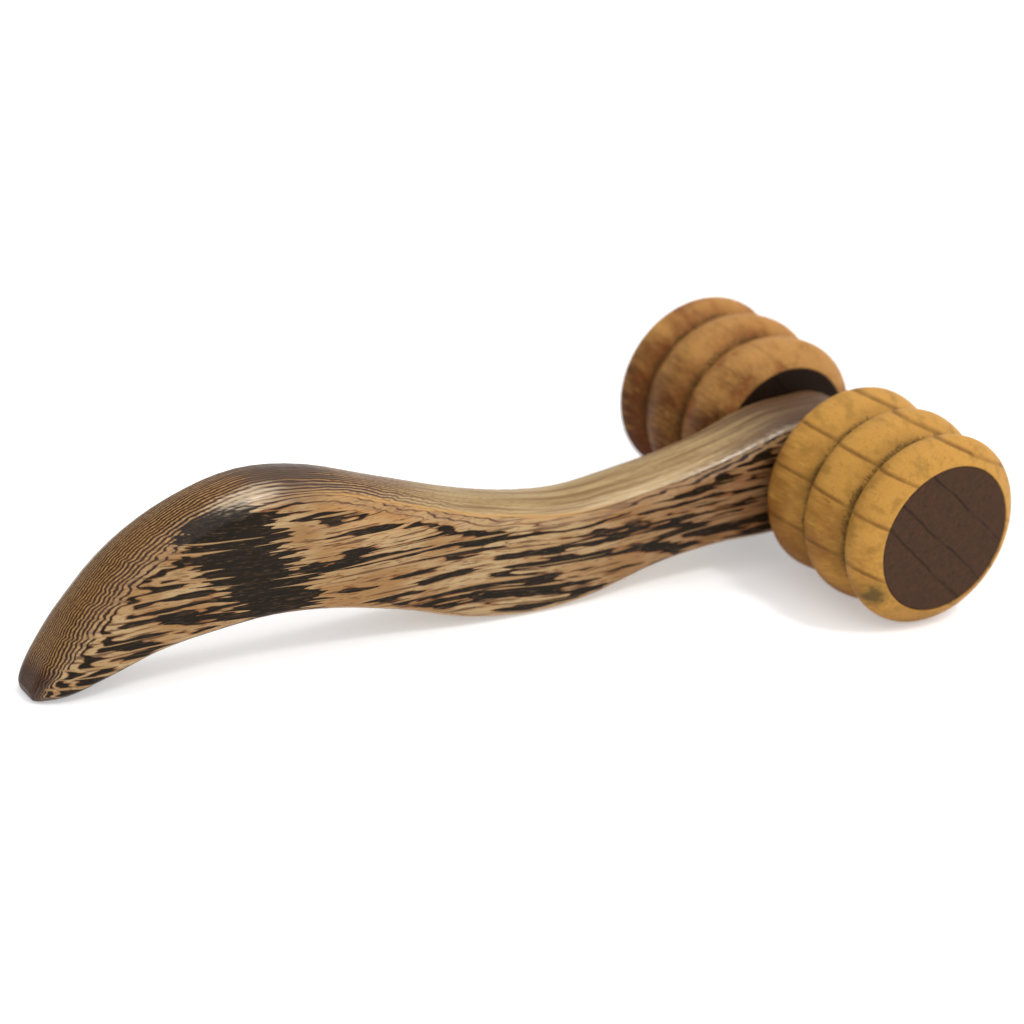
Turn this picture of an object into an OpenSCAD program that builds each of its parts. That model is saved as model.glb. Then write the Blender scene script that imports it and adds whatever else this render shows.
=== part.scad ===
// Hand-held wooden massage roller: a wavy handle with two beaded wooden rollers on one steel axle.
// Millimetres. The part stands on the floor at z = 0, on both rollers and on the belly of its handle.
// +X points forwards, from the tip of the handle to the rollers. +Y is left, +Z is up, and the
// origin is on the floor below the middle of the object's length and width.

/* [Rollers] */
// Diameter over the middle bead
roller_d = 40; // [36:0.5:44]
// Diameter over the bead at each end
end_bead_d = 39.2; // [37:0.1:40]
// Length of one roller
roller_l = 35; // [33:0.5:40]
// Diameter at the bottom of the grooves
groove_d = 33; // [32:0.1:34.5]
// Diameter of the flat end faces
face_d = 30.8; // [30.6:0.1:32]
// Length of the bead next to the handle
inner_bead_l = 12.9; // [11:0.1:14]
// Length of the bead at the outer end
outer_bead_l = 9.6; // [9:0.1:11]
// Fullness of the beads: 2 is a parabola, more is squarer
bead_power = 2; // [1.8:0.1:2.6]
// Thickness of the dark disc let into each roller's inner end
inner_disc_t = 3; // [2:0.5:4]
// Thickness of the dark cap let into each roller's outer end
end_cap_t = 4; // [3:0.5:5]

/* [Handle] */
// Thickness of the board the handle is sawn from
handle_w = 16; // [14:0.5:18]
// Distance from the axle to the tip of the handle
reach = 173; // [173:0.5:180]
// Radius of the round head that holds the axle
head_r = 12; // [11:0.5:12.5]
// Rounding of the top edges at the head
head_edge_r = 4.4; // [3:0.1:5]
// Rounding of the top edges along the neck
neck_edge_r = 6.4; // [4:0.1:7]
// Rounding of the top edges at the hump and the tip, where the top is nearly half round
hump_edge_r = 7; // [5:0.1:7.5]
// Rounding of the long edges underneath
lower_edge_r = 2; // [1:0.1:3]
// Length over which the tip narrows, seen from above
tip_l = 16; // [10:1:20]
// Width left at the end of the tip
tip_w = 4; // [4:0.5:7]

/* [Axle and fixings] */
// Diameter of the steel axle
axle_d = 5; // [4:0.5:6]
// Wall of the brass sleeve that lines each roller
sleeve_wall = 1.45; // [1:0.05:2]
// Thickness of the washer between the head and a roller
thrust_washer_t = 0.5; // [0.3:0.1:1]
// Thickness of the washer under a screw head
retaining_washer_t = 0.8; // [0.5:0.1:1]
// Nominal diameter of the retaining screws
screw_d = 3; // [2.5:0.5:3]
// Length of a screw below its head
screw_l = 10; // [8:1:12]

/* [Hidden] */
$fn = 96;

LEFT = 1;
RIGHT = -1;

// Running clearances between pieces that turn against each other, and the film of a glued joint.
end_float = 0.1;
bore_clearance = 0.05;
glue_gap = 0.02;

// Stations along the axle, measured outwards from the handle's middle plane.
roller_in = handle_w / 2 + thrust_washer_t + end_float;
roller_out = roller_in + roller_l;
pocket_out = roller_out - end_cap_t;
pocket_l = 5;
sleeve_out = pocket_out - pocket_l;
axle_end = sleeve_out + end_float;
screw_seat = axle_end + retaining_washer_t;

// Radii around the axle.
axle_r = axle_d / 2;
sleeve_r_in = axle_r + bore_clearance;
sleeve_r = sleeve_r_in + sleeve_wall;
disc_r = face_d / 2 - 0.2;
pocket_r = 7;
thrust_washer_r = 6;
retaining_washer_r = 5.5;

// The axle's place: above the floor by a roller's radius, and half the object's length forward.
axle_x = (reach - roller_d / 2) / 2;
axle_z = roller_d / 2;

// Ribs of the handle, from the axle back to the tip. Each rib joins a point of the top line to a
// point of the underside. A point is [distance behind the axle, height above the floor].
// The head around the axle is round, so the first rib is the head's own diameter.
ribs = [
    [[0, axle_z + head_r], [0, axle_z - head_r]],
    [[13, 30.9], [13, 7.3]],
    [[27, 27.0], [27, 7.1]],
    [[42, 23.8], [41, 5.5]],
    [[57, 21.8], [55, 1.6]],
    [[69, 22.2], [69, 0]],
    [[84, 25.2], [85, 2.1]],
    [[101, 30.4], [100, 6.4]],
    [[116.5, 35.3], [114, 9.4]],
    [[131, 36.7], [127, 10.4]],
    [[144, 33.3], [139, 9.5]],
    [[155.2, 26.7], [150, 7.6]],
    [[164.3, 17.2], [159, 4.4]],
    [[169.7, 8.8], [165.5, 1.4]],
    [[172, 4.4], [169.6, 0.3]],
    [[reach, 2], [reach - 0.5, 0.2]]
];
rib_steps = 4; // ribs drawn for each one listed above
corner_steps = 4; // facets in each rounded corner of a rib

// ---------- curves ----------

// A point on the Catmull-Rom curve through the list p, a share t of the way from p[i] to p[i + 1].
function curve_point(p, i, t) =
    let (
        last = len(p) - 1,
        a = i == 0 ? 2 * p[0] - p[1] : p[i - 1],
        b = p[i],
        c = p[i + 1],
        d = i + 2 > last ? 2 * p[last] - p[last - 1] : p[i + 2]
    )
    0.5 * (2 * b + (c - a) * t + (2 * a - 5 * b + 4 * c - d) * t * t
        + (3 * b - a - 3 * c + d) * t * t * t);

function curve(p, steps) = [
    for (i = [0:len(p) - 2])
        for (k = [0:steps - 1])
            curve_point(p, i, k / steps),
    p[len(p) - 1]
];

// A point of a bead's outline, a share v of the way from its crest down to one of its edges.
// The crest and the edge are each [radius, distance along the axle].
function bead_point(crest, edge, v) = [
    crest[0] - (crest[0] - edge[0]) * pow(v, bead_power),
    crest[1] + (edge[1] - crest[1]) * v
];

// A bead's outline from its inner edge, over its crest, to just before its outer edge.
function bead(inner, crest, outer) = concat(
    [for (k = [bead_steps:-1:1]) bead_point(crest, inner, k / bead_steps)],
    [for (k = [0:bead_steps - 1]) bead_point(crest, outer, k / bead_steps)]
);

// ---------- handle ----------

// A smooth rise from 0 at a distance d = from to 1 at d = to.
function ease(d, from, to) =
    let (share = min(1, max(0, (d - from) / (to - from))))
    share * share * (3 - 2 * share);

// Rounding of the top edges at a distance d behind the axle.
function top_edge_r(d) =
    head_edge_r
    + (neck_edge_r - head_edge_r) * ease(d, 8, 28)
    + (hump_edge_r - neck_edge_r) * ease(d, 78, 122);

// How far a quarter of an ellipse l long and h high falls, at a distance d from its low end.
function ellipse_fall(d, l, h) = d < l ? h * (1 - sqrt(1 - ((l - d) / l) ^ 2)) : 0;

// Half the handle's width at a distance d behind the axle: parallel sides, round at both ends.
function half_width(d) =
    handle_w / 2
    - ellipse_fall(head_r + d, head_edge_r, head_edge_r)
    - ellipse_fall(reach - d, tip_l, (handle_w - tip_w) / 2);

// The points around one rib: a rectangle with rounded corners, seen along the handle.
function rib_section(top, bottom) =
    let (
        centre = (top + bottom) / 2,
        up = (top - bottom) / norm(top - bottom),
        h = norm(top - bottom) / 2,
        w = half_width(centre[0]),
        most = 0.96 * min(h, w)
    )
    [
        for (corner = [0:3])
            let (
                side = corner == 0 || corner == 3 ? 1 : -1,
                rise = corner < 2 ? 1 : -1,
                r = min(corner < 2 ? top_edge_r(centre[0]) : lower_edge_r, most)
            )
            for (k = [0:corner_steps])
                let (
                    a = 90 * (corner + k / corner_steps),
                    y = side * (w - r) + r * cos(a),
                    s = rise * (h - r) + r * sin(a)
                )
                [axle_x - centre[0] - up[0] * s, y, centre[1] + up[1] * s]
    ];

// Vertical ribs through the front of the round head, from its flat nose back to the axle.
head_steps = 7;
head_sections = [
    for (k = [0:head_steps - 1])
        let (a = 7 + 83 * k / head_steps)
        rib_section(
            [-head_r * cos(a), axle_z + head_r * sin(a)],
            [-head_r * cos(a), axle_z - head_r * sin(a)]
        )
];

top_line = curve([for (rib = ribs) rib[0]], rib_steps);
underside = curve([for (rib = ribs) rib[1]], rib_steps);
body_sections = [for (i = [0:len(top_line) - 1]) rib_section(top_line[i], underside[i])];

// A closed solid through a row of sections that all have the same number of points.
module loft(sections) {
    n = len(sections[0]);
    last = len(sections) - 1;
    polyhedron(
        points = [for (s = sections) each s],
        faces = concat(
            [[for (j = [0:n - 1]) j]],
            [
                for (i = [0:last - 1])
                    for (j = [0:n - 1])
                        let (a = i * n + j, b = i * n + (j + 1) % n)
                        each [[a, a + n, b], [b, a + n, b + n]]
            ],
            [[for (j = [n - 1:-1:0]) last * n + j]]
        )
    );
}

module handle() {
    color([0.42, 0.29, 0.17])
    difference() {
        loft(concat(head_sections, body_sections));
        translate([axle_x, 0, axle_z])
        rotate([90, 0, 0])
        cylinder(r = axle_r + glue_gap, h = handle_w + 2, center = true);
    }
}

// ---------- axle and everything that turns round it ----------

// Puts a child drawn along +Z, outwards from the handle's middle plane, on the axle's left or right.
module on_axle(side) {
    translate([axle_x, 0, axle_z])
    rotate([-90 * side, 0, 0])
    children();
}

module ring(r_in, r_out, z0, z1) {
    translate([0, 0, z0])
    difference() {
        cylinder(r = r_out, h = z1 - z0);
        translate([0, 0, -1])
        cylinder(r = r_in, h = z1 - z0 + 2);
    }
}

// A disc whose edges are broken by a small chamfer c.
module chamfered_disc(r, z0, z1, c) {
    rotate_extrude()
    polygon([[0, z0], [r - c, z0], [r, z0 + c], [r, z1 - c], [r - c, z1], [0, z1]]);
}

tapped_r = screw_d / 2 + glue_gap;
tapped_l = screw_l + 2;

module axle() {
    color([0.72, 0.73, 0.75])
    difference() {
        translate([axle_x, 0, axle_z])
        rotate([90, 0, 0])
        chamfered_disc(axle_r, -axle_end, axle_end, 0.3);
        for (side = [LEFT, RIGHT])
            on_axle(side)
            translate([0, 0, axle_end - tapped_l])
            cylinder(r = tapped_r, h = tapped_l + 1);
    }
}

bead_steps = 8; // cones on each side of a bead's crest
crest_share = 0.38; // how far along the two longer beads their crests are
first_groove = roller_in + inner_bead_l;
second_groove = roller_out - outer_bead_l;

// Corners and crests of the three beads, each [radius, distance along the axle].
inner_face_edge = [face_d / 2, roller_in];
inner_crest = [end_bead_d / 2, roller_in + crest_share * inner_bead_l];
first_low = [groove_d / 2, first_groove];
middle_crest = [roller_d / 2, first_groove + crest_share * (second_groove - first_groove)];
second_low = [groove_d / 2, second_groove];
outer_crest = [end_bead_d / 2, roller_out - outer_bead_l / 2];
outer_face_edge = [face_d / 2, roller_out];

module roller(side) {
    color([0.78, 0.57, 0.27])
    on_axle(side)
    difference() {
        rotate_extrude()
        polygon(concat(
            [[0, roller_in]],
            bead(inner_face_edge, inner_crest, first_low),
            bead(first_low, middle_crest, second_low),
            bead(second_low, outer_crest, outer_face_edge),
            [outer_face_edge, [0, roller_out]]
        ));
        // bore for the sleeve
        cylinder(r = sleeve_r + glue_gap, h = roller_out + 1);
        // recess for the inner disc
        translate([0, 0, roller_in - 1])
        cylinder(r = disc_r + glue_gap, h = inner_disc_t + 1);
        // pocket for the screw and its washer
        translate([0, 0, sleeve_out])
        cylinder(r = pocket_r, h = roller_l);
        // recess for the end cap
        translate([0, 0, pocket_out])
        cylinder(r = disc_r + glue_gap, h = roller_l);
    }
}

module inner_disc(side) {
    color([0.26, 0.17, 0.13])
    on_axle(side)
    ring(sleeve_r + glue_gap, disc_r, roller_in, roller_in + inner_disc_t);
}

module end_cap(side) {
    color([0.31, 0.21, 0.17])
    on_axle(side)
    chamfered_disc(disc_r, pocket_out, roller_out, 0.25);
}

module sleeve(side) {
    color([0.80, 0.66, 0.36])
    on_axle(side)
    ring(sleeve_r_in, sleeve_r, roller_in, sleeve_out);
}

module thrust_washer(side) {
    color([0.90, 0.89, 0.84])
    on_axle(side)
    ring(sleeve_r_in, thrust_washer_r, handle_w / 2, handle_w / 2 + thrust_washer_t);
}

module retaining_washer(side) {
    color([0.72, 0.73, 0.75])
    on_axle(side)
    ring(screw_d / 2 + 0.1, retaining_washer_r, axle_end, screw_seat);
}

// Pan-head screw. Its thread is a row of plain ridges, and its head has a cross recess.
head_h = 0.7 * screw_d;
screw_head_r = 0.95 * screw_d;
thread_pitch = 0.5;
thread_depth = 0.3;
thread_turns = floor(screw_l / thread_pitch) - 1;
cross_w = 0.7;
cross_l = 3.2;
cross_depth = 1.2;

module retaining_screw(side) {
    color([0.62, 0.63, 0.65])
    on_axle(side)
    translate([0, 0, screw_seat])
    difference() {
        rotate_extrude()
        polygon(concat(
            [[0, head_h], [screw_head_r - 0.8, head_h], [screw_head_r - 0.25, head_h - 0.3]],
            [[screw_head_r, head_h - 0.9], [screw_head_r, 0]],
            [[screw_d / 2, 0]],
            [
                for (k = [0:thread_turns - 1])
                    each [
                        [screw_d / 2, -thread_pitch * (k + 0.5)],
                        [screw_d / 2 - thread_depth, -thread_pitch * (k + 1)]
                    ]
            ],
            [[screw_d / 2 - thread_depth, -screw_l], [0, -screw_l]]
        ));
        for (turn = [0, 90])
            rotate([0, 0, turn])
            translate([-cross_l / 2, -cross_w / 2, head_h - cross_depth])
            cube([cross_l, cross_w, cross_depth + 1]);
    }
}

// ---------- assembly ----------

handle();
axle();

roller(LEFT);  // left_roller
inner_disc(LEFT);  // left_inner_disc
end_cap(LEFT);  // left_end_cap
sleeve(LEFT);  // left_sleeve
thrust_washer(LEFT);  // left_thrust_washer
retaining_washer(LEFT);  // left_retaining_washer
retaining_screw(LEFT);  // left_retaining_screw

roller(RIGHT);  // right_roller
inner_disc(RIGHT);  // right_inner_disc
end_cap(RIGHT);  // right_end_cap
sleeve(RIGHT);  // right_sleeve
thrust_washer(RIGHT);  // right_thrust_washer
retaining_washer(RIGHT);  // right_retaining_washer
retaining_screw(RIGHT);  // right_retaining_screw
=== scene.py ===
"""A hand-held wooden massage roller: the finished look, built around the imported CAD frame.

Metres, in the frame's own axes: +X from the handle's tip to the rollers, +Y left along the axle, +Z up.
"""
import math
import random
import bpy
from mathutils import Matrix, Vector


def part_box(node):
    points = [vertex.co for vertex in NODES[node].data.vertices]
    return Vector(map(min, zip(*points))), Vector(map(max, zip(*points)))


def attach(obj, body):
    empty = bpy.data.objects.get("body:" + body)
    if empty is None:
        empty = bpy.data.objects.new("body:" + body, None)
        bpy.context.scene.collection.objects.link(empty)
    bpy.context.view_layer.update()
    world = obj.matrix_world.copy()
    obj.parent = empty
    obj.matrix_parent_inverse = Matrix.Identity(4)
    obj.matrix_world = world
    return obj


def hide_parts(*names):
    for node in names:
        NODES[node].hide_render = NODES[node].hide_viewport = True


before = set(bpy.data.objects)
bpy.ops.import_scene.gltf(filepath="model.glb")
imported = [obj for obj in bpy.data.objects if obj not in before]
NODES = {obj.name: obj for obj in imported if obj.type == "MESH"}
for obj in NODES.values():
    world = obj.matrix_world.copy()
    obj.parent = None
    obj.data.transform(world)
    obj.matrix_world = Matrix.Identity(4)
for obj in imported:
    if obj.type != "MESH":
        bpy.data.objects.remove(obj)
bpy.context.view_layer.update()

from types import SimpleNamespace

import bpy
import numpy as np
from mathutils import Euler, Matrix, Vector, noise

MM = 0.001
SIDES = ("left", "right")
scene = bpy.context.scene

# ---------- places, read from the frame ----------

axle_lo, axle_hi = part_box("axle")
AXLE = (axle_lo + axle_hi) / 2
handle_lo, handle_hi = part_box("handle")

# ---------- sizes of what the frame doesn't hold ----------

GLUE = 0.02 * MM  # the film of glue round a disc, a cap or a sleeve
POCKET_R = 7 * MM  # the hollow under an end cap
CAP_EDGE = 0.25 * MM  # the bevel round an end cap
DISC_EDGE = 0.2 * MM
GROOVE_R = 16.5 * MM
PROFILE_STEP = 0.25 * MM  # between the points of a roller's outline
ROLLER_SEGMENTS = 512  # round a roller, fine enough for the torn fibres
CAP_SEGMENTS = 192
CAP_RINGS = 40
DISC_SEGMENTS = 160
DISC_RINGS = 20

TICKS_PER_GROOVE = 90
SHORTEST_TICK = 0.7 * MM
LONGEST_TICK = 2.0 * MM
TORN_DEPTH = 0.12 * MM
STAIN_WIDTH = 0.7 * MM  # of the dirt that collects in a groove

VOXEL = 0.5 * MM  # of the handle's even mesh
SMOOTHING_PASSES = 12
SANDING_LENGTH = 14 * MM  # the handle's waviness, left by sanding it by hand
SANDING_DEPTH = 0.15 * MM
SANDING_SEED = 1  # unseeded, noise_vector would give another waviness each run


def outward(side):
    """+1 for the left roller, which lies towards +Y, and -1 for the right one."""
    return 1 if side == "left" else -1


def span(node):
    """(inner end, outer end, radius) of a turned CAD node, measured along the axle from the middle."""
    lo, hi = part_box(node)
    ends = sorted((abs(lo.y), abs(hi.y)))
    return ends[0], ends[1], (hi.z - lo.z) / 2


def outer_profile(side):
    """The (distance along the axle, radius) points of a CAD roller's beads, from its inner end out."""
    points = np.array([v.co for v in NODES[side + "_roller"].data.vertices])
    along = np.abs(points[:, 1])
    radius = np.hypot(points[:, 0] - AXLE.x, points[:, 2] - AXLE.z)
    rings = {}
    for u, r in zip(np.round(along, 5), radius):
        rings[u] = max(r, rings.get(u, 0))
    recess = span(side + "_end_cap")[2]
    return np.array([(u, r) for u, r in sorted(rings.items()) if r > recess + 0.1 * MM])


# ---------- mesh helpers ----------

def new_object(name, vertices, faces):
    mesh = bpy.data.meshes.new(name)
    mesh.from_pydata([tuple(v) for v in vertices], [], faces)
    mesh.update()
    obj = bpy.data.objects.new(name, mesh)
    scene.collection.objects.link(obj)
    return obj


def shade_smooth(obj):
    obj.data.polygons.foreach_set("use_smooth", [True] * len(obj.data.polygons))
    obj.data.update()


def low_points(points):
    """The indexes of the ends of a bead outline and of the grooves in it."""
    radius = points[:, 1]
    inside = range(1, len(points) - 1)
    grooves = [i for i in inside if radius[i] < radius[i - 1] and radius[i] <= radius[i + 1]]
    return [0, *grooves, len(points) - 1]


def curve_through(points, step):
    """Catmull-Rom curve through (along, radius) points, with corners kept where two beads meet."""
    low = low_points(points)
    result = []
    for first, last in zip(low, low[1:]):
        piece = points[first:last + 1]
        padded = np.vstack([2 * piece[0] - piece[1], piece, 2 * piece[-1] - piece[-2]])
        for k in range(len(piece) - 1):
            a, b, c, d = padded[k:k + 4]
            count = max(1, round(np.linalg.norm(c - b) / step))
            for t in np.arange(count) / count:
                point = 0.5 * (2 * b + (c - a) * t + (2 * a - 5 * b + 4 * c - d) * t * t
                               + (3 * b - a - 3 * c + d) * t ** 3)
                result.append(point)
    result.append(points[-1])
    return np.array(result)


def ring_faces(one, two):
    """The faces between two rings of point numbers. A ring of one repeated point is a pole."""
    faces = []
    for j in range(len(one)):
        k = (j + 1) % len(one)
        if one[0] == one[1]:
            faces.append((one[j], two[k], two[j]))
        elif two[0] == two[1]:
            faces.append((one[j], one[k], two[j]))
        else:
            faces.append((one[j], one[k], two[k], two[j]))
    return faces


def lathe(name, side, outline, segments, torn=None):
    """A closed turned solid. outline is a closed loop of (along, radius), and a radius of 0 is a pole.

    torn(along, angles) says how torn the surface is: it is sunk there, and the shader reads the same
    amounts from the mesh.
    """
    angles = np.arange(segments) * 2 * math.pi / segments
    way = outward(side)
    rings, points, amounts = [], [], []
    count = 0
    for along, radius in outline:
        if radius == 0:
            rings.append([count] * segments)
            points.append([[AXLE.x, way * along, AXLE.z]])
            amounts.append([0.0])
            count += 1
            continue
        amount = torn(along, angles) if torn and radius > GROOVE_R * 0.9 else np.zeros(segments)
        r = radius - TORN_DEPTH * amount
        points.append(np.column_stack([
            AXLE.x + r * np.cos(angles), np.full(segments, way * along), AXLE.z + r * np.sin(angles),
        ]))
        amounts.append(amount)
        rings.append(list(range(count, count + segments)))
        count += segments
    faces = []
    for one, two in zip(rings, rings[1:] + rings[:1]):
        both_poles = one[0] == one[1] and two[0] == two[1]
        if not both_poles:
            faces += ring_faces(one, two)
    if way < 0:
        faces = [face[::-1] for face in faces]
    obj = new_object(name, np.vstack(points).tolist(), faces)
    if torn:
        attribute = obj.data.attributes.new("torn", "FLOAT", "POINT")
        attribute.data.foreach_set("value", np.concatenate(amounts))
    shade_smooth(obj)
    return obj


def taubin(points, edges, passes):
    """Smooths a mesh's points without shrinking it."""
    count = np.zeros(len(points))
    np.add.at(count, edges[:, 0], 1)
    np.add.at(count, edges[:, 1], 1)
    for step in range(passes * 2):
        total = np.zeros_like(points)
        np.add.at(total, edges[:, 0], points[edges[:, 1]])
        np.add.at(total, edges[:, 1], points[edges[:, 0]])
        weight = 0.5 if step % 2 == 0 else -0.52
        points = points + weight * (total / count[:, None] - points)
    return points


# ---------- shader helpers ----------

class Shader:
    """Short calls that add nodes to a material or a world. Inputs may be sockets or numbers."""

    def __init__(self, name, owners=bpy.data.materials):
        self.owner = owners.new(name)
        self.owner.use_nodes = True
        self.tree = self.owner.node_tree
        self.tree.nodes.clear()

    def node(self, kind, inputs=(), **settings):
        made = self.tree.nodes.new(kind)
        for key, value in settings.items():
            setattr(made, key, value)
        for key, value in dict(inputs).items():
            self.join(made.inputs[key], value)
        return made

    def join(self, socket, value):
        if isinstance(value, bpy.types.NodeSocket):
            self.tree.links.new(value, socket)
        elif value is not None:
            if socket.type == "RGBA" and len(value) == 3:
                value = (*value, 1)
            socket.default_value = value

    def math(self, operation, a, b=None, c=None):
        made = self.node("ShaderNodeMath", operation=operation)
        for socket, value in zip(made.inputs, (a, b, c)):
            self.join(socket, value)
        return made.outputs[0]

    def fold(self, operation, values):
        """One operation over several values, such as the largest of them."""
        result, *others = values
        for other in others:
            result = self.math(operation, result, other)
        return result

    def times(self, *values):
        return self.fold("MULTIPLY", values)

    def plus(self, value, *terms):
        """value, with term * amount added to it for each (term, amount)."""
        for term, amount in terms:
            value = self.math("MULTIPLY_ADD", term, amount, value)
        return value

    def vector_math(self, operation, a, b=None, scale=None):
        made = self.node("ShaderNodeVectorMath", operation=operation)
        self.join(made.inputs[0], a)
        self.join(made.inputs[1], b)
        if scale is not None:
            self.join(made.inputs["Scale"], scale)
        return made.outputs["Value" if operation in ("DOT_PRODUCT", "LENGTH") else "Vector"]

    def millimetres(self):
        """The point's place in the frame, in millimetres. It turns with the piece."""
        place = self.node("ShaderNodeTexCoord").outputs["Object"]
        return self.vector_math("SCALE", place, scale=1 / MM)

    def turned(self, vector, euler, origin):
        made = self.node("ShaderNodeMapping", {"Vector": vector}, vector_type="POINT")
        turn = Euler(euler)
        made.inputs["Rotation"].default_value = turn
        made.inputs["Location"].default_value = -(turn.to_matrix() @ Vector(origin))
        return made.outputs[0]

    def stretched(self, vector, scale, offset=(0, 0, 0)):
        """vector with each axis divided by a feature size in millimetres."""
        made = self.node("ShaderNodeMapping", {"Vector": vector}, vector_type="POINT")
        made.inputs["Scale"].default_value = [1 / s for s in scale]
        made.inputs["Location"].default_value = offset
        return made.outputs[0]

    def distance(self, vector, middle, sizes):
        """The distance from a middle, where each axis counts in units of a size: 1 on an ellipsoid."""
        offset = [-m / size for m, size in zip(middle, sizes)]
        return self.vector_math("LENGTH", self.stretched(vector, sizes, offset))

    def noise(self, vector, size, detail=2.0, roughness=0.5, offset=(0, 0, 0)):
        """Noise from -1 to 1 about 0. size is the feature size along each axis, in millimetres."""
        made = self.node("ShaderNodeTexNoise", {
            "Vector": self.stretched(vector, size, offset),
            "Scale": 1.0, "Detail": detail, "Roughness": roughness,
        })
        return self.math("MULTIPLY_ADD", made.outputs["Fac"], 2.0, -1.0)

    def separate(self, vector):
        return self.node("ShaderNodeSeparateXYZ", {"Vector": vector}).outputs

    def combine(self, x, y, z):
        return self.node("ShaderNodeCombineXYZ", {"X": x, "Y": y, "Z": z}).outputs[0]

    def step(self, value, low, high):
        """0 below low, 1 above high and smooth between them. low may be the larger."""
        made = self.node("ShaderNodeMapRange", {
            "Value": value, "From Min": low, "From Max": high,
        }, interpolation_type="SMOOTHSTEP")
        return made.outputs[0]

    def blend(self, amount, a, b):
        made = self.node("ShaderNodeMix", data_type="RGBA", blend_type="MIX", clamp_factor=True)
        self.join(made.inputs[0], amount)
        self.join(made.inputs[6], a)
        self.join(made.inputs[7], b)
        return made.outputs[2]

    def tint(self, colour, mask, strength, other):
        """colour, with the other colour laid over it at a strength where the mask is 1."""
        return self.blend(self.times(mask, strength), colour, other)

    def bump(self, height, distance, strength):
        made = self.node("ShaderNodeBump", {"Height": height, "Distance": distance, "Strength": strength})
        return made.outputs[0]

    def finish(self, **inputs):
        surface = self.node("ShaderNodeBsdfPrincipled")
        for key, value in inputs.items():
            self.join(surface.inputs[key.replace("_", " ")], value)
        output = self.node("ShaderNodeOutputMaterial")
        self.tree.links.new(surface.outputs[0], output.inputs["Surface"])
        return self.owner


def rgb(red, green, blue):
    """A colour given as 0-255 display values, as the linear values that a node holds."""
    def linear(value):
        c = value / 255
        return c / 12.92 if c <= 0.04045 else ((c + 0.055) / 1.055) ** 2.4
    return linear(red), linear(green), linear(blue)


# ---------- the handle's wood ----------

# In the materials, sizes and places are in millimetres. The triple in a noise call is the size of its
# features along each axis, and the numbers in a step are where a value starts and stops to count.
#
# The handle's board is made of thin layers that lie nearly parallel to its sides, dark and light by
# turns. The top cuts across them and shows thin lines. A side cuts along them and shows long flames.
LAYER = 0.96  # thickness of one dark and one light layer together
HALF_BOARD = 8  # half the board's thickness
FINER = 0.54  # how many more lines the top shows; 2 * HALF_BOARD * FINER is a whole number of layers
SWEEP_LENGTH = 64  # from one slow rise of the fibres to the next
SWEEP_LEAD = 30  # the rise starts this far behind the middle of the object
SWEEP_RISE = 0.4
HUMP_TOP = -47  # where the hump is highest, along the handle
HUMP_PATCH = (HUMP_TOP, -1.1, 36)  # the middle of a grey-brown patch there
HUMP_PATCH_SIZE = (11, 5.5, 30)
PATCH_X = -56.5  # the middle of the large dark patch on the hump's right side, along the handle
PATCH_Z = 23  # and its height there
PATCH_LEAN = 0.66  # how far forwards it runs for each millimetre down
PAINTED_SHEEN = (-57.5, -5.4, 34.4)  # the place on the hump's right edge where a pale sheen is painted into the colour: a painted highlight
PAINTED_SHEEN_SIZE = (7.5, 1.8, 5)
ROW_STRIDE = 17.3  # how far apart in the noise two neighbouring rows of strands are


def handle_places(s):
    """Where each point lies: along the handle, in its fibres, and on a flat side or the top."""
    at = SimpleNamespace(place=s.millimetres())
    at.x, at.y, at.z = s.separate(at.place)
    normal = s.separate(s.node("ShaderNodeTexCoord").outputs["Normal"])
    at.facing = s.math("ABSOLUTE", normal[1])  # 1 on a flat side and 0 on the top
    at.upward = s.step(at.facing, 0.93, 0.70)
    at.on_right = s.times(s.step(at.y, -4.5, -6.5), s.step(normal[2], -0.8, -0.3))

    # the fibres run along the handle and rise and fall gently
    turn = 2 * math.pi / SWEEP_LENGTH
    sweep = s.math("SINE", s.math("MULTIPLY_ADD", at.x, turn, turn * SWEEP_LEAD))
    sag = s.noise(at.place, (50, 40, 24), detail=1.0, offset=(4, 1, 2))
    at.row = s.plus(at.z, (sweep, -SWEEP_RISE), (sag, 2.5))
    at.fibre = s.combine(at.x, at.y, at.row)

    # each fibre is shifted along its own length, which gives every dark flame its ragged ends
    coarse = s.noise(at.fibre, (60, 5, 0.9), detail=0.0)
    fine = s.noise(at.fibre, (26, 3, 0.38), detail=0.0, offset=(5, 3, 8))
    at.shifted = s.plus(at.x, (coarse, 5.0), (fine, 4.0))
    shifted_fibre = s.combine(at.shifted, at.y, at.row)

    at.ripple = s.noise(shifted_fibre, (30, 10, 1.7), detail=1.0, offset=(2, 0, 4))
    at.drift = s.noise(at.place, (40, 30, 14), detail=1.0, offset=(3, 9, 1))
    at.streaks = s.noise(at.fibre, (7, 0.6, 0.25), offset=(11, 0, 0))
    at.pores = s.step(s.noise(at.fibre, (2.2, 0.3, 0.22), detail=1.0, offset=(3, 6, 2)), 0.22, 0.4)
    at.hue = s.noise(at.place, (16, 12, 7), offset=(0, 5, 9))
    return at


def mark_regions(s, at):
    """Regions of the handle's sides, each 1 inside and 0 outside."""
    at.front = s.step(at.x, 8, 55)
    at.slope = s.times(s.step(at.z, 19, 29), s.step(at.x, -46, -38), s.step(at.facing, 0.85, 0.95))
    lean = s.plus(at.shifted, (s.math("SUBTRACT", at.row, PATCH_Z), PATCH_LEAN))
    from_patch = s.math("ABSOLUTE", s.math("SUBTRACT", lean, PATCH_X))
    at.patch = s.times(s.step(from_patch, 10.5, 8), at.on_right)
    at.pale_band = s.times(s.step(from_patch, 17, 11), at.on_right)


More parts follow.
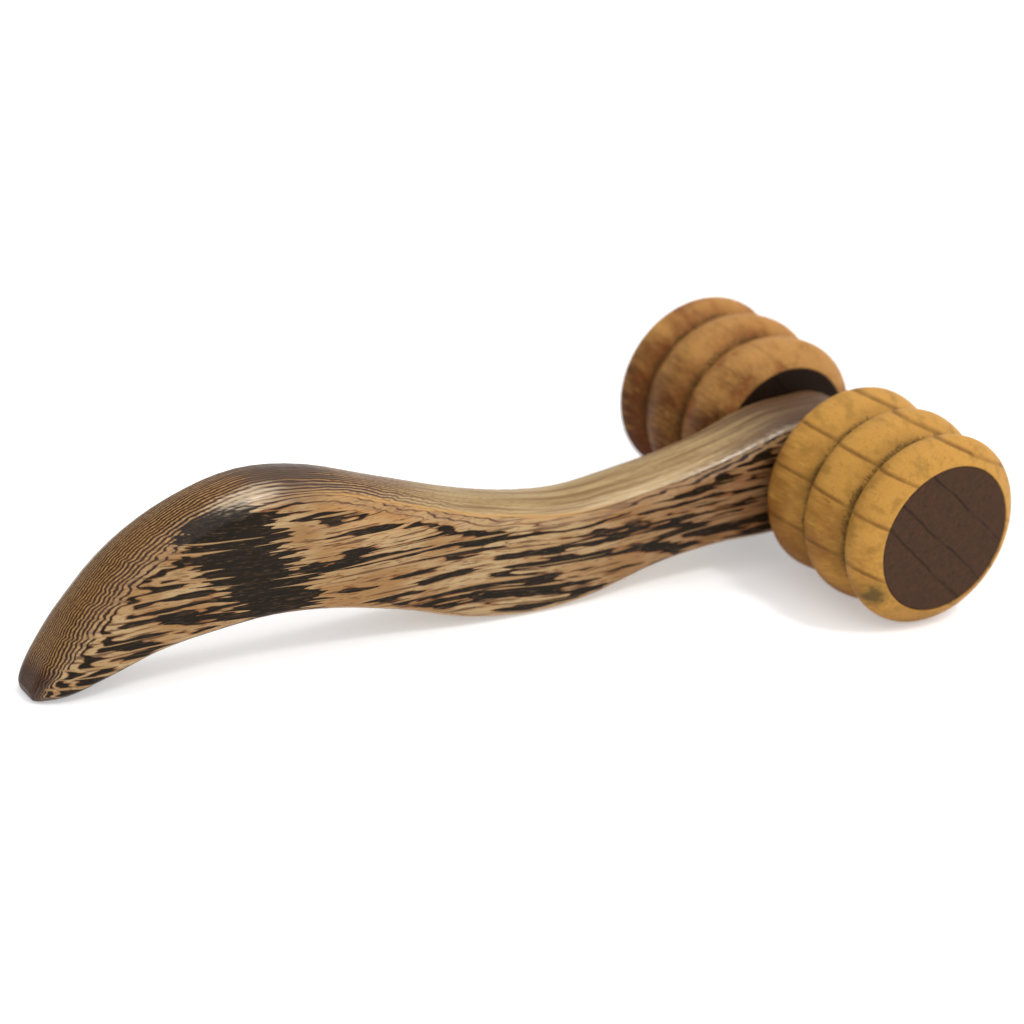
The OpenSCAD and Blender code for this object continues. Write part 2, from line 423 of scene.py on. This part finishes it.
def layer_height(s, at):
    """Which layer the surface cuts: above 0 in a dark one, below 0 in a light one."""
    # how far sideways each layer is bent where the surface cuts it
    crimp = s.noise(at.fibre, (5, 3, 0.8), detail=1.0, offset=(1, 1, 5))
    across = s.plus(at.y, (at.ripple, 1.05), (at.drift, 1.5), (crimp, 0.32))
    from_side = s.math("SUBTRACT", HALF_BOARD, s.math("ABSOLUTE", at.y))
    across = s.plus(across, (s.times(from_side, at.upward, s.math("SIGN", at.y)), -FINER))
    layers = s.math("SINE", s.times(across, 2 * math.pi / LAYER))

    # darker on the handle's upper part next to the head and the rollers: painted shade
    painted_shade_by_head = s.times(s.step(at.x, 38, 52), s.step(at.z, 15, 23))
    low_tip = s.times(s.step(at.z, 9, 4), s.step(at.x, -70, -84))
    border = s.times(s.step(at.facing, 0.70, 0.86), s.step(at.facing, 0.99, 0.95))
    hump_front = s.times(s.step(at.x, -52, -40), s.step(at.facing, 0.99, 0.93),
                         s.step(at.facing, 0.45, 0.65))
    return s.plus(
        layers,
        (at.pale_band, -0.5),
        (at.patch, 2.6),
        (at.slope, -0.45),
        (at.front, 0.30),
        (painted_shade_by_head, 0.55),
        (at.upward, 0.20),
        (low_tip, 0.9),
        (border, -0.45),  # only thin lines where the hump's rounding runs into a side
        (hump_front, -0.5),
    )


def strands(s, at, spacing, length, thickness, seed):
    """Thin tapered lines along the fibres, in rows, that start and end at random. 1 on a line."""
    sway = s.noise(at.fibre, (30, 9, 9), offset=(seed, 0, 0))
    rows = s.math("DIVIDE", s.plus(at.row, (sway, 0.8)), spacing)
    number = s.math("ROUND", rows)
    off = s.times(s.math("ABSOLUTE", s.math("SUBTRACT", rows, number)), spacing)
    apart = s.combine(at.x, at.y, s.times(number, ROW_STRIDE))
    chance = s.noise(apart, (length, 12, 10), detail=1.0, offset=(0, seed, seed))
    width = s.math("MAXIMUM", s.times(chance, thickness * 2.5), 0.001)
    return s.step(off, width, s.times(width, 0.4))


def light_layers(s, at, rim):
    """Their colour, as a side shows them and, browner, as the top does."""
    tan = s.blend(s.step(at.hue, -0.25, 0.3), rgb(167, 141, 103), rgb(144, 109, 69))
    tan = s.tint(tan, at.slope, 0.5, rgb(176, 128, 78))
    tan = s.tint(tan, at.front, 0.65, rgb(118, 80, 52))
    tan = s.tint(tan, s.step(at.streaks, -0.05, 0.45), 0.8, rgb(132, 92, 54))
    tan = s.tint(tan, at.pores, 0.7, rgb(92, 58, 32))
    top_tan = s.blend(s.step(at.streaks, -0.3, 0.5), rgb(158, 122, 72), rgb(108, 72, 36))
    colour = s.tint(s.blend(at.upward, tan, top_tan), rim, 0.8, rgb(116, 70, 38))
    hairs = s.times(strands(s, at, 1.0, 9.0, 0.42, 8.0), s.plus(0.8, (at.upward, -0.8)))
    return s.blend(hairs, colour, rgb(78, 50, 32))


def dark_layers(s, at):
    black = s.blend(s.step(at.streaks, 0.0, 0.5), rgb(24, 16, 6), rgb(48, 34, 20))
    black = s.tint(black, at.pores, 0.5, rgb(84, 64, 44))
    black = s.tint(black, strands(s, at, 1.9, 17.0, 0.54, 3.0), 0.8, rgb(168, 132, 90))
    top_black = s.blend(s.step(at.hue, -0.3, 0.3), rgb(34, 16, 4), rgb(56, 32, 14))
    return s.blend(s.times(at.upward, s.math("SUBTRACT", 1.0, at.patch)), black, top_black)


def lay_neck(s, at, figure, height, bands):
    """The figure under the neck's top, which is pale, with faint lines, and darker at the head."""
    tan = s.blend(s.step(bands, -0.3, 0.35), rgb(170, 144, 98), rgb(124, 94, 54))
    tan = s.tint(tan, s.step(at.streaks, -0.1, 0.5), 0.5, rgb(116, 90, 54))
    tan = s.tint(tan, s.step(height, -0.2, 0.8), 0.28, rgb(96, 66, 36))
    tan = s.tint(tan, s.step(s.plus(at.x, (bands, 14.0)), 44, 68), 0.9, rgb(68, 42, 24))
    neck = s.step(s.plus(at.x, (at.drift, 24.0)), -40, -8)
    edge = s.plus(at.facing, (at.ripple, 0.10))
    figure = s.blend(s.times(neck, s.step(edge, 0.82, 0.70)), figure, tan)

    # an orange strip where it meets a side
    strip = s.times(s.step(edge, 0.60, 0.70), s.step(edge, 0.84, 0.76),
                    s.step(at.x, -50, -32), s.step(at.x, 36, 10))
    figure = s.tint(figure, strip, 0.6, rgb(184, 136, 70))
    # and a paler band next to it, on the rounding: a painted highlight
    painted_highlight_band = s.times(s.step(at.facing, 0.48, 0.62), s.step(at.facing, 0.78, 0.68),
                      s.step(at.x, 0, 24), s.plus(0.30, (at.streaks, 0.9)))
    return s.blend(painted_highlight_band, figure, rgb(204, 180, 146))


def lay_hump(s, at, figure, height, bands):
    """The figure under the grey-brown patch on top of the hump, and the painted highlight beside it."""
    from_middle = s.distance(at.place, HUMP_PATCH, HUMP_PATCH_SIZE)
    from_middle = s.plus(from_middle, (at.streaks, 0.7), (bands, 1.2))
    patch = s.times(s.step(from_middle, 1.2, 0.5), s.step(at.z, 22, 28))
    figure = s.tint(figure, patch, 0.85, rgb(64, 46, 33))
    # a pale sheen laid into the colour on the hump's right edge: painted highlight
    from_sheen = s.distance(at.place, PAINTED_SHEEN, PAINTED_SHEEN_SIZE)
    from_sheen = s.plus(from_sheen, (at.streaks, 0.9), (height, 0.22))
    return s.tint(figure, s.step(from_sheen, 1.3, 0.3), 0.62, rgb(200, 178, 148))


def handle_wood():
    s = Shader("handle_wood")
    at = handle_places(s)
    mark_regions(s, at)
    height = layer_height(s, at)
    dark = s.step(height, -0.02, 0.28)
    rim = s.step(height, -0.45, 0.1)
    bands = s.noise(at.place, (34, 1.1, 12), roughness=0.6, offset=(5, 2, 2))
    figure = s.blend(dark, light_layers(s, at, rim), dark_layers(s, at))
    figure = lay_neck(s, at, figure, height, bands)
    figure = lay_hump(s, at, figure, height, bands)

    # the hand polishes the rounded edges, and the light layers more than the dark ones
    polish = s.times(s.step(at.facing, 0.35, 0.55), s.step(at.facing, 0.92, 0.80),
                     s.plus(1.0, (dark, -0.6)))
    relief = s.plus(s.times(at.streaks, 0.6), (dark, 0.5), (at.pores, -0.8))
    return s.finish(
        Base_Color=figure,
        Roughness=s.plus(0.36, (at.streaks, 0.12)),
        Specular_IOR_Level=s.plus(0.10, (at.upward, 0.04)),
        Coat_Weight=s.times(polish, 0.7),
        Coat_Roughness=0.22,
        Normal=s.bump(relief, 0.05 * MM, 0.6),
    )


# ---------- the rollers' wood ----------

# Each roller has its own piece of wood. across is the direction across its growth layers, in degrees
# above +X, and lines are the distances of its clearest growth lines from the axle. Each piece is darker
# towards the low side of its layers, and the right one gets darker towards +Y too, next to the handle.
# Both are painted shade, of the rollers as they lie at rest, and they turn with the rollers.
WOODS = {
    "left": SimpleNamespace(
        light=rgb(167, 121, 66), deep=rgb(72, 36, 14), stain_and_groove_shade=rgb(112, 54, 22), ink=rgb(78, 40, 18),
        across=50, lines=(-9.0, 10.5), line_strength=0.25,
        mottle_size=(4.5, 7.0, 4.5), shade=0.0, painted_shade_along=0.0,
    ),
    "right": SimpleNamespace(
        light=rgb(178, 131, 62), deep=rgb(126, 82, 35), stain_and_groove_shade=rgb(132, 98, 42), ink=rgb(84, 50, 20),
        across=65.6, lines=(-11.9, -2.2, 7.4, 17.05), line_strength=0.7,
        mottle_size=(2.6, 5.0, 2.6), shade=0.5, painted_shade_along=0.03,
    ),
}
KNOT = (62.2, -42.0, 10.0)  # a small dark knot in the right roller's outer bead
KNOT_SIZE = (3.0, 2.2, 2.8)


def across_layers(s, degrees):
    """The place turned about the axle so that its Z runs across the wood's growth layers."""
    return s.turned(s.millimetres(), (0, math.radians(degrees - 90), 0), AXLE / MM)


def growth_lines(s, around, level, places):
    """Lines that are sharp on one side and fade on the other. 1 on a line."""
    lines = []
    for place in places:
        above = s.math("SUBTRACT", level, place)
        lines.append(s.times(s.step(above, -0.45, -0.08), s.step(above, 0.9, 0.0)))
    patchy = s.step(s.noise(around, (4, 5, 4), detail=1.0, offset=(3, 2, 8)), -0.4, 0.2)
    return s.times(s.fold("MAXIMUM", lines), s.plus(0.5, (patchy, 0.5)))


def lay_knot(s, colour, mottle, streaks):
    from_knot = s.distance(s.millimetres(), KNOT, KNOT_SIZE)
    from_knot = s.plus(from_knot, (mottle, 1.3), (streaks, 0.5))
    colour = s.tint(colour, s.step(from_knot, 1.5, 0.7), 0.7, rgb(112, 88, 42))
    return s.tint(colour, s.step(from_knot, 0.9, 0.3), 0.6, rgb(60, 50, 30))


def lay_grooves(s, colour, around, along, grooves, cloud, stain_and_groove_shade):
    """The colour with painted shade in patches beside the grooves, and fine torn fibres along them."""
    offs = []
    for place in grooves:
        offs.append(s.math("ABSOLUTE", s.math("SUBTRACT", s.math("ABSOLUTE", along), place)))
    off = s.fold("MINIMUM", offs)
    # darker patches beside the grooves: painted shade, laid on in the wood's stain colour
    painted_groove_shade = s.times(s.step(off, 4.2, 0.6), s.step(cloud, -0.5, 0.3))
    colour = s.tint(colour, painted_groove_shade, 0.45, stain_and_groove_shade)
    fibres = s.noise(around, (0.26, 4.0, 0.26), detail=1.0, offset=(8, 2, 5))
    rough = s.noise(around, (5, 30, 5), detail=1.0, offset=(6, 6, 1))
    fibres = s.plus(fibres, (rough, 0.35), (s.step(off, 1.9, 0.0), 0.62))
    return s.tint(colour, s.step(fibres, 0.42, 0.62), 0.75, rgb(76, 54, 22))


def roller_wood(side, grooves):
    """grooves are the places of the grooves along the axle, in millimetres."""
    wood = WOODS[side]
    s = Shader(side + "_roller_wood")
    around = across_layers(s, wood.across)
    _, along, z = s.separate(around)
    wander = s.noise(around, (14, 20, 14), roughness=0.4, offset=(1, 5, 2))
    lines = growth_lines(s, around, s.plus(z, (wander, 0.6)), wood.lines)
    cloud = s.noise(around, (9, 13, 6), detail=3.0, offset=(2, 4, 6))
    streaks = s.noise(around, (0.35, 4.5, 0.35))
    grain = s.noise(around, (0.9, 11, 0.6), roughness=0.6, offset=(9, 3, 1))
    pores = s.step(s.noise(around, (0.22, 1.6, 0.22), detail=1.0, offset=(4, 4, 4)), 0.2, 0.38)
    mottle = s.noise(around, wood.mottle_size, offset=(7, 1, 3))
    # the z and along terms are painted shade: darker towards the low side at rest and, on the right
    # roller, towards the handle
    depth = s.plus(wood.shade, (along, wood.painted_shade_along), (z, -0.055), (cloud, 1.5), (grain, 0.6))

    colour = s.blend(s.step(depth, -0.8, 1.2), wood.light, wood.deep)
    colour = s.tint(colour, s.step(mottle, 0.0, 0.45), 0.55, wood.stain_and_groove_shade)
    colour = s.tint(colour, s.step(streaks, 0.1, 0.7), 0.5, rgb(110, 70, 30))
    colour = s.tint(colour, s.step(grain, -0.1, -0.5), 0.18, rgb(196, 150, 80))
    colour = s.tint(colour, pores, 0.25, wood.ink)
    colour = s.tint(colour, lines, wood.line_strength, wood.ink)
    if side == "right":
        colour = lay_knot(s, colour, mottle, streaks)
    colour = lay_grooves(s, colour, around, along, grooves, cloud, wood.stain_and_groove_shade)
    torn = s.node("ShaderNodeAttribute", attribute_name="torn").outputs["Fac"]
    colour = s.blend(s.step(torn, 0.0, 0.8), colour, rgb(70, 54, 24))
    return s.finish(
        Base_Color=colour,
        Roughness=s.plus(0.55, (streaks, 0.10)),
        Specular_IOR_Level=0.08,
        Normal=s.bump(s.plus(s.times(streaks, 0.6), (lines, -0.5)), 0.05 * MM, 0.6),
    )


# ---------- the other materials ----------

DARK_WOOD_LINES = (7.25, -0.9, -6.4)  # distances from the axle, in millimetres
DARK_WOOD_ACROSS = 49  # the direction across them, in degrees above +X


def dark_wood(name, shade=1.0):
    s = Shader(name)
    around = across_layers(s, DARK_WOOD_ACROSS)
    z = s.separate(around)[2]
    wander = s.noise(around, (9, 20, 5), offset=(5, 5, 0))
    level = s.plus(z, (wander, 0.8))
    lines = []
    for place in DARK_WOOD_LINES:
        lines.append(s.step(s.math("ABSOLUTE", s.math("SUBTRACT", level, place)), 0.42, 0.05))
    broken = s.step(s.noise(around, (4, 9, 3), detail=1.0, offset=(2, 2, 9)), -0.4, 0.15)
    lines = s.times(s.fold("MAXIMUM", lines), s.plus(0.4, (broken, 0.6)))
    flecks = s.noise(around, (0.3, 4, 1.6))
    rays = s.noise(around, (3.0, 4, 0.3), offset=(4, 0, 7))
    cloud = s.noise(around, (2.5, 9, 2.5), detail=3.0, offset=(1, 1, 6))
    specks = s.noise(around, (0.22, 3, 0.9), detail=1.0, offset=(6, 6, 2))
    colour = s.blend(s.step(cloud, -0.5, 0.5), rgb(62, 43, 31), rgb(66, 45, 32))
    colour = s.tint(colour, s.step(flecks, 0.0, 0.5), 0.6, rgb(84, 58, 41))
    colour = s.tint(colour, s.step(rays, 0.05, 0.6), 0.5, rgb(46, 32, 23))
    colour = s.tint(colour, s.step(specks, 0.1, 0.4), 0.5, rgb(38, 26, 18))
    colour = s.tint(colour, lines, 0.7, rgb(32, 22, 16))
    return s.finish(
        Base_Color=s.vector_math("SCALE", colour, scale=shade),
        Roughness=s.plus(0.62, (flecks, 0.10)),
        Specular_IOR_Level=0.06,
        Normal=s.bump(s.plus(s.times(flecks, 0.6), (lines, -0.6)), 0.05 * MM, 0.5),
    )


def metal(name, colour, roughness):
    s = Shader(name)
    turned = s.noise(s.millimetres(), (2.0, 0.08, 2.0))
    return s.finish(
        Base_Color=s.blend(s.step(turned, -0.6, 0.6), colour, tuple(0.8 * c for c in colour)),
        Metallic=1.0,
        Roughness=s.plus(roughness, (turned, 0.06)),
        Normal=s.bump(turned, 0.01 * MM, 0.5),
    )


def nylon():
    s = Shader("nylon")
    speckle = s.noise(s.millimetres(), (0.3, 0.3, 0.3))
    return s.finish(
        Base_Color=s.blend(s.step(speckle, -0.5, 0.5), rgb(226, 222, 208), rgb(204, 199, 184)),
        Roughness=0.5,
        Normal=s.bump(speckle, 0.02 * MM, 0.3),
    )


# ---------- pieces ----------

def make_handle():
    """The CAD handle with its facets smoothed away and the slight waviness of hand sanding."""
    obj = bpy.data.objects.new("handle_shaped", NODES["handle"].data.copy())
    scene.collection.objects.link(obj)
    remesh = obj.modifiers.new("even_mesh", "REMESH")
    remesh.mode = "VOXEL"
    remesh.voxel_size = VOXEL
    graph = bpy.context.evaluated_depsgraph_get()
    mesh = bpy.data.meshes.new_from_object(obj.evaluated_get(graph))
    obj.modifiers.clear()
    obj.data = mesh
    mesh.name = "handle_shaped"
    points = np.zeros(len(mesh.vertices) * 3)
    mesh.vertices.foreach_get("co", points)
    points = points.reshape(-1, 3)
    edges = np.zeros(len(mesh.edges) * 2, int)
    mesh.edges.foreach_get("vertices", edges)
    points = taubin(points, edges.reshape(-1, 2), SMOOTHING_PASSES)
    noise.seed_set(SANDING_SEED)
    for i, point in enumerate(points):
        waviness = noise.noise_vector(Vector(point) / SANDING_LENGTH)
        points[i] += SANDING_DEPTH * np.array(waviness)
    points = np.clip(points, handle_lo, handle_hi)
    mesh.vertices.foreach_set("co", points.ravel())
    mesh.update()
    shade_smooth(obj)
    return obj


def groove_places(side):
    """The places of a roller's grooves along the axle, measured from the middle."""
    profile = outer_profile(side)
    return [profile[i][0] for i in low_points(profile)[1:-1]]


def torn_grain(random_source, grooves):
    """Short dark ticks along the axle, where the turning tool tore the fibres at each groove.

    The result is a function from a ring's place and angles to how torn each point is, from 0 to 1.
    Each groove has three bare stretches with few ticks and little dirt.
    """
    full_turn = 2 * math.pi
    ticks, stains = [], []
    for place in grooves:
        bare = random_source.uniform(0, full_turn)
        stains.append((place - STAIN_WIDTH / 2, bare))
        for _ in range(TICKS_PER_GROOVE):
            angle = random_source.uniform(0, full_turn)
            if random_source.random() > 0.62 + 0.38 * math.cos(3 * (angle - bare)):
                continue
            length = random_source.uniform(SHORTEST_TICK, LONGEST_TICK)
            centre = place - random_source.uniform(0.0, 0.45) * length
            half_width = random_source.uniform(0.13, 0.28) * MM / GROOVE_R
            ticks.append((centre, length / 2, angle, half_width, random_source.uniform(0.5, 1.0)))

    def amount(along, angles):
        torn = np.zeros(len(angles))
        for place, phase in stains:
            near = math.exp(-(((along - place) / STAIN_WIDTH) ** 2))
            uneven = np.sin(3 * angles + phase) * np.sin(11 * angles)
            torn = np.maximum(torn, near * (0.30 + 0.22 * uneven))
        for centre, half_length, angle, half_width, depth in ticks:
            lengthwise = 1 - ((along - centre) / half_length) ** 2
            if lengthwise <= 0:
                continue
            turn = (angles - angle + math.pi) % full_turn - math.pi
            sideways = np.clip(1 - (turn / half_width) ** 2, 0, 1)
            torn = np.maximum(torn, depth * math.sqrt(lengthwise) * sideways)
        return torn

    return amount


def make_roller(side):
    node = side + "_roller"
    inner, outer, _ = span(node)
    _, disc_out, disc_r = span(side + "_inner_disc")
    cap_in, _, cap_r = span(side + "_end_cap")
    _, sleeve_out, sleeve_r = span(side + "_sleeve")
    hollow = [
        (outer, cap_r + GLUE), (cap_in, cap_r + GLUE), (cap_in, POCKET_R), (sleeve_out, POCKET_R),
        (sleeve_out, sleeve_r + GLUE), (disc_out, sleeve_r + GLUE), (disc_out, disc_r + GLUE),
        (inner, disc_r + GLUE),
    ]
    profile = curve_through(outer_profile(side), PROFILE_STEP)
    torn = torn_grain(random.Random(node), groove_places(side))
    return lathe(side + "_roller_turned", side, [*profile, *hollow], ROLLER_SEGMENTS, torn)


def make_cap(side):
    cap_in, cap_out, radius = span(side + "_end_cap")
    flat = radius - CAP_EDGE
    rim = [(cap_in, 0), (cap_in, flat), (cap_in + CAP_EDGE, radius), (cap_out - CAP_EDGE, radius)]
    face = [(cap_out, r) for r in np.linspace(flat, 0, CAP_RINGS)]
    return lathe(side + "_end_cap_flush", side, [*rim, *face], CAP_SEGMENTS)


def make_inner_disc(side):
    disc_in, disc_out, radius = span(side + "_inner_disc")
    hole = span(side + "_sleeve")[2] + GLUE
    face = [(disc_in, r) for r in np.linspace(hole, radius - DISC_EDGE, DISC_RINGS)]
    rim = [(disc_in + DISC_EDGE, radius), (disc_out, radius), (disc_out, hole)]
    return lathe(side + "_inner_disc_flush", side, [*face, *rim], DISC_SEGMENTS)


def paint(piece, material):
    piece.data.materials.clear()
    piece.data.materials.append(material)


def dress(piece, material, body, node):
    """Puts a finished piece in the place of a CAD node."""
    paint(piece, material)
    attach(piece, body)
    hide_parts(node)


dress(make_handle(), handle_wood(), "handle_assembly", "handle")
cap_wood = dark_wood("cap_wood")
disc_wood = dark_wood("disc_wood", 0.3)  # in the shade behind the handle's head
for side in SIDES:
    body = side + "_roller_assembly"
    wood = roller_wood(side, [place / MM for place in groove_places(side)])
    dress(make_roller(side), wood, body, side + "_roller")
    dress(make_cap(side), cap_wood, body, side + "_end_cap")
    dress(make_inner_disc(side), disc_wood, body, side + "_inner_disc")

# the CAD pieces that stay as they are
steel = metal("steel", (0.60, 0.61, 0.62), 0.32)
brass = metal("brass", (0.72, 0.50, 0.22), 0.38)
white_nylon = nylon()
paint(NODES["axle"], steel)
for side in SIDES:
    paint(NODES[side + "_sleeve"], brass)
    paint(NODES[side + "_thrust_washer"], white_nylon)
    paint(NODES[side + "_retaining_washer"], steel)
    paint(NODES[side + "_retaining_screw"], steel)

# ---------- stage ----------

FLOOR_HALF = 3.0
FLOOR_GLOW = 0.34  # the floor is a lit white panel, so shadows on it are pale
SKY = 0.88  # mean brightness of the white light tent
SKY_SLOPE = (0.28, -0.30, 0.30)  # how much brighter it is towards +X, +Y and +Z


def floor_material():
    s = Shader("pale_floor")
    return s.finish(Base_Color=(0.82, 0.82, 0.82), Roughness=0.7, Specular_IOR_Level=0.1,
                    Emission_Color=(1, 1, 1), Emission_Strength=FLOOR_GLOW)


def light_tent():
    s = Shader("light_tent", bpy.data.worlds)
    direction = s.node("ShaderNodeTexCoord").outputs["Generated"]
    strength = s.math("ADD", s.vector_math("DOT_PRODUCT", direction, SKY_SLOPE), SKY)
    background = s.node("ShaderNodeBackground", {"Color": (1, 1, 1), "Strength": strength})
    output = s.node("ShaderNodeOutputWorld")
    s.tree.links.new(background.outputs[0], output.inputs["Surface"])
    return s.owner


def area_light(name, place, size, power):
    """A soft light that shines on the middle of the object."""
    light = bpy.data.lights.new(name, "AREA")
    light.shape = "RECTANGLE"
    light.size, light.size_y = size
    light.energy = power
    obj = bpy.data.objects.new(name, light)
    scene.collection.objects.link(obj)
    obj.location = place
    middle = Vector((0, 0, AXLE.z))
    obj.rotation_euler = (middle - Vector(place)).to_track_quat("-Z", "Y").to_euler()


corners = [(-1, -1, 0), (1, -1, 0), (1, 1, 0), (-1, 1, 0)]
floor = new_object("floor", [Vector(corner) * FLOOR_HALF for corner in corners], [(0, 1, 2, 3)])
floor.data.materials.append(floor_material())
scene.world = light_tent()
area_light("softbox_front", (0.24, -0.48, 0.84), (0.16, 0.16), 2.6)
area_light("softbox_back", (0.30, 0.30, 0.90), (0.3, 0.2), 1.8)

# ---------- camera ----------

AZIMUTH = math.radians(-34.72)
ELEVATION = math.radians(24.41)
ROLL = math.radians(5.60)
DISTANCE = 0.6045
LENS = 110.75  # millimetres, as is the sensor
SENSOR = 36
aim = AXLE + Vector((-71.8, 0, -1.0)) * MM

focus = bpy.data.objects.new("focus_point", None)
focus.location = (HUMP_TOP * MM, 0, 30 * MM)
scene.collection.objects.link(focus)

camera_data = bpy.data.cameras.new("camera")
camera_data.lens = LENS
camera_data.sensor_width = SENSOR
camera_data.clip_start = 0.05
camera_data.dof.use_dof = True
camera_data.dof.focus_object = focus
camera_data.dof.aperture_fstop = 16

back = Vector((math.sin(AZIMUTH) * math.cos(ELEVATION), -math.cos(AZIMUTH) * math.cos(ELEVATION),
               math.sin(ELEVATION)))
look = (-back).to_track_quat("-Z", "Y").to_matrix().to_4x4()
camera = bpy.data.objects.new("camera", camera_data)
scene.collection.objects.link(camera)
camera.matrix_world = Matrix.Translation(aim + back * DISTANCE) @ look @ Matrix.Rotation(ROLL, 4, "Z")
scene.camera = camera

scene.view_settings.view_transform = "Standard"
scene.view_settings.look = "None"
